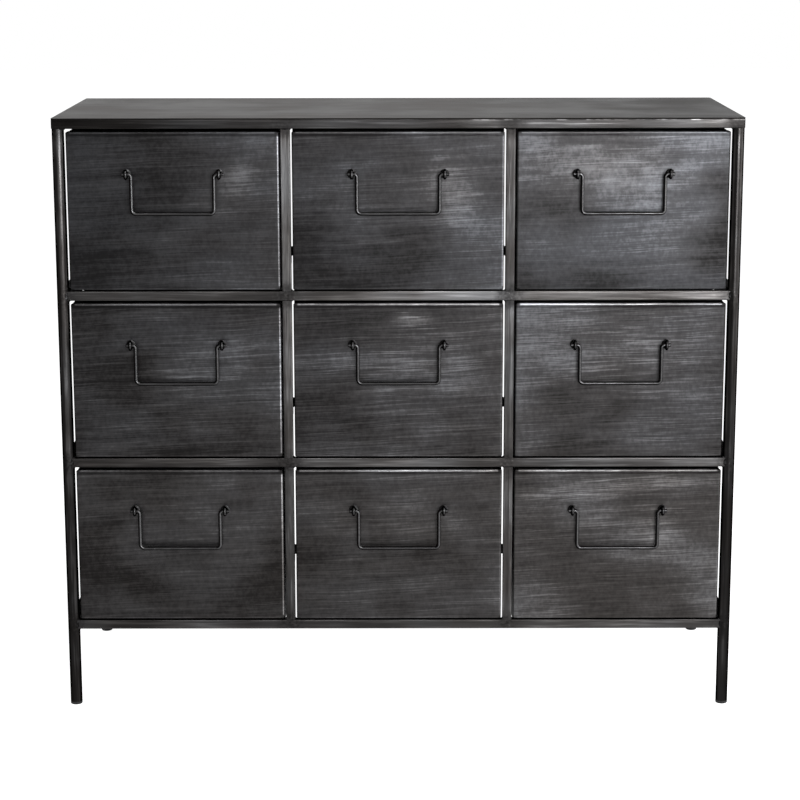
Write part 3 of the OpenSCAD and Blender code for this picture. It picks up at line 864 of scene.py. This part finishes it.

# %% The nine fronts
# A front's lift is partly its own tone and partly painted light: the right-hand columns are lighter, as the
# key softbox stands at the right.
FRONTS = {
    (1, 1): dict(lift=0.105, coarse=0.68, bend_highlights=(0.08, 0.34), painted_slopes=(0.09, 0.03), patches=[
        (0.60, 0.40, 0.035, 0.030, 0.5, 0.14), (0.35, 0.05, 0.10, 0.035, 0.7, 0.10)]),
    (1, 2): dict(lift=0.135, coarse=0.68, bend_highlights=(0.24, 0.28), painted_slopes=(0.045, 0.05), patches=[
        (-0.05, 0.15, 0.12, 0.07, 0.0, 0.08), (0.5, 0.25, 0.05, 0.06, 0.3, 0.21)]),
    (1, 3): dict(lift=0.152, coarse=0.45, bend_highlights=(0.14, 0.04), painted_slopes=(-0.03, 0.10), patches=[
        (-0.15, 0.5, 0.13, 0.055, -0.1, 0.20), (0.5, -0.4, 0.09, 0.07, 0.2, 0.10)]),
    (2, 1): dict(lift=0.065, coarse=1.0, bend_highlights=(0.30, 0.37), painted_slopes=(0.045, 0.04), patches=[
        (0.1, 0.1, 0.10, 0.05, 0.3, 0.08)]),
    (2, 2): dict(lift=0.12, coarse=1.0, bend_highlights=(0.38, 0.12), painted_slopes=(0.06, 0.05), patches=[
        (0.05, 0.80, 0.026, 0.012, 0.0, 0.26), (0.22, 0.78, 0.024, 0.010, 0.0, 0.22),
        (0.0, 0.2, 0.12, 0.06, 0.1, 0.10)]),
    (2, 3): dict(lift=0.135, coarse=1.0, bend_highlights=(0.38, 0.04), painted_slopes=(-0.03, 0.05), patches=[
        (0.04, 0.32, 0.12, 0.07, 0.2, 0.11)]),
    (3, 1): dict(lift=0.07, coarse=0.65, bend_highlights=(0.12, 0.42), painted_slopes=(0.03, 0.04), patches=[
        (-0.2, 0.55, 0.10, 0.03, 0.0, 0.08), (0.4, 0.1, 0.08, 0.03, -0.2, 0.06)]),
    (3, 2): dict(lift=0.11, coarse=0.8, bend_highlights=(0.30, 0.12), painted_slopes=(0.03, 0.04), patches=[
        (0.1, 0.3, 0.10, 0.04, 0.0, 0.08), (-0.6, 0.4, 0.04, 0.05, 0.2, 0.08)]),
    (3, 3): dict(lift=0.18, coarse=1.0, bend_highlights=(0.28, 0.08), painted_slopes=(0.02, 0.00), patches=[
        (0.15, 0.78, 0.15, 0.018, 0.1, 0.16), (0.38, 0.30, 0.05, 0.04, 0.5, 0.13),
        (-0.85, 0.55, 0.04, 0.03, 0.0, 0.07)]),
}
for (row, column), looks in FRONTS.items():
    node = f"front_r{row}c{column}"
    seed = 20.0 + 3 * row + column * 1.7
    wear(node, front_finish(f"front_steel_r{row}c{column}", seed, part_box(node), **looks))
print(f"{len(FRONTS)} fronts finished")

# %% [markdown]
# ## Inner sheet, wire and feet
# What the hand doesn't reach keeps the dull, even black of the bath: the trays and the runners. The wire of
# the bails and the eyes is worn by fingers along its back and carries a painted highlight along the right of
# its front. The feet are plain black plastic plugs. One steel could do for all of them, but then the handles
# wouldn't stand out from the fronts.

# %% Inner sheet steel
SHEET_VALUE, SHEET_ROUGHNESS = 0.24, 0.44


def sheet_finish(name, grain, seed):
    """Dull blackened sheet, with faint mill lines and stains."""
    material, tree = new_finish(name)
    marks = placed(tree, "brushed_grain", Grain=grain, Seed=seed, Wander=0.01)
    edges = placed(tree, "worn_and_highlit_edges", Least=0.02, Most=0.2)
    value = layered(tree, SHEET_VALUE, marks, Clouds=0.16, Bands=0.10, Streaks=0.10, Hairlines=0.06,
                    Scratches=0.06)
    value = layered(tree, value, edges, Edge=0.15)
    shade = steel_colour(tree, value, blend(tree, marks["Clouds"], BROWNISH, WHITE))
    roughness = layered(tree, SHEET_ROUGHNESS, marks, Clouds=0.10)
    steel(tree, shade, roughness, marks["Hairlines"], rim=0.2, bump=0.08)
    return material


tray = sheet_finish("tray_sheet_steel", (14, 14, 320), 6.0)
runner = sheet_finish("runner_steel", (200, 10, 200), 7.0)
for row in ROWS:
    wear(f"runners_{row}", runner)
    for column in COLUMNS:
        wear(f"tray_r{row}c{column}", tray)
print("trays and runners finished")

# %% Handle wire
WIRE_ROUGHNESS = 0.30
# The direction that the painted highlight faces, and how bright the worn back is, as a share of the highlight
PAINTED_HIGHLIGHT_SIDE, RUBBED_BACK = (0.55, -0.83, 0.1), 0.6


def wire_finish(name, base, highlight_and_wear, specks, seed):
    """Black wire with a painted highlight along the right of its front, worn less bright along its back by
    the fingers that pull it, with specks on top."""
    material, tree = new_finish(name)
    marks = placed(tree, "brushed_grain", Grain=(60, 300, 300), Seed=seed, Wander=0.004)
    spots = placed(tree, "near_joint", Seed=seed)
    value = layered(tree, base, marks, Clouds=0.08, Streaks=0.06)
    value = calc(tree, "MULTIPLY_ADD", turned_to(tree, PAINTED_HIGHLIGHT_SIDE, 0.64, 0.88), highlight_and_wear, value)
    value = calc(tree, "MULTIPLY_ADD", turned_to(tree, (0, 1, 0), 0.4, 0.9), RUBBED_BACK * highlight_and_wear, value)
    value = layered(tree, value, spots, Specks=specks)
    roughness = layered(tree, WIRE_ROUGHNESS, marks, Clouds=-0.08)
    steel(tree, steel_colour(tree, value), roughness, marks["Hairlines"], rim=0.0)
    return material


# The bails and the eyes: a painted highlight on the front, wear on the back
bail_wire = wire_finish("bail_wire_steel", base=-0.04, highlight_and_wear=0.56, specks=0.1, seed=8.0)
eye_wire = wire_finish("eye_wire_steel", base=-0.02, highlight_and_wear=0.48, specks=0.35, seed=9.0)
for row in ROWS:
    for column in COLUMNS:
        wear(f"bail_r{row}c{column}", bail_wire)
        wear(f"eyes_r{row}c{column}", eye_wire)
print("handles finished")

# %% Foot plugs
PLUG_GRAIN, PLUG_ROUGHNESS, PLUG_RELIEF = (900, 900, 900), 0.6, 0.0003
PLUG_BLACK, PLUG_GREY = (0.012, 0.012, 0.012, 1), (0.03, 0.03, 0.03, 1)


def plug_finish():
    """Dull black plastic with a fine grain."""
    material, tree = new_finish("plug_plastic")
    grain = noise(tree, vector(tree, "MULTIPLY", place_on(tree), PLUG_GRAIN), 1.0, 3.0).outputs[0]
    dull = calc(tree, "MULTIPLY_ADD", grain, 0.2, PLUG_ROUGHNESS)
    shade = blend(tree, grain, PLUG_BLACK, PLUG_GREY)
    relief = add(tree, "Bump", {"Height": grain, "Strength": 0.2, "Distance": PLUG_RELIEF}).outputs[0]
    surface = add(tree, "BsdfPrincipled", {"Base Color": shade, "Roughness": dull, "Specular IOR Level": 0.2,
                                           "Normal": relief})
    add(tree, "OutputMaterial", {"Surface": surface.outputs[0]})
    return material


wear("foot_plugs", plug_finish())
print("feet finished")

# %% [markdown]
# ## The view transform
# The looks must not change the size. The picture goes through the Standard view transform.

# %% View transform
scene.view_settings.view_transform = "Standard"
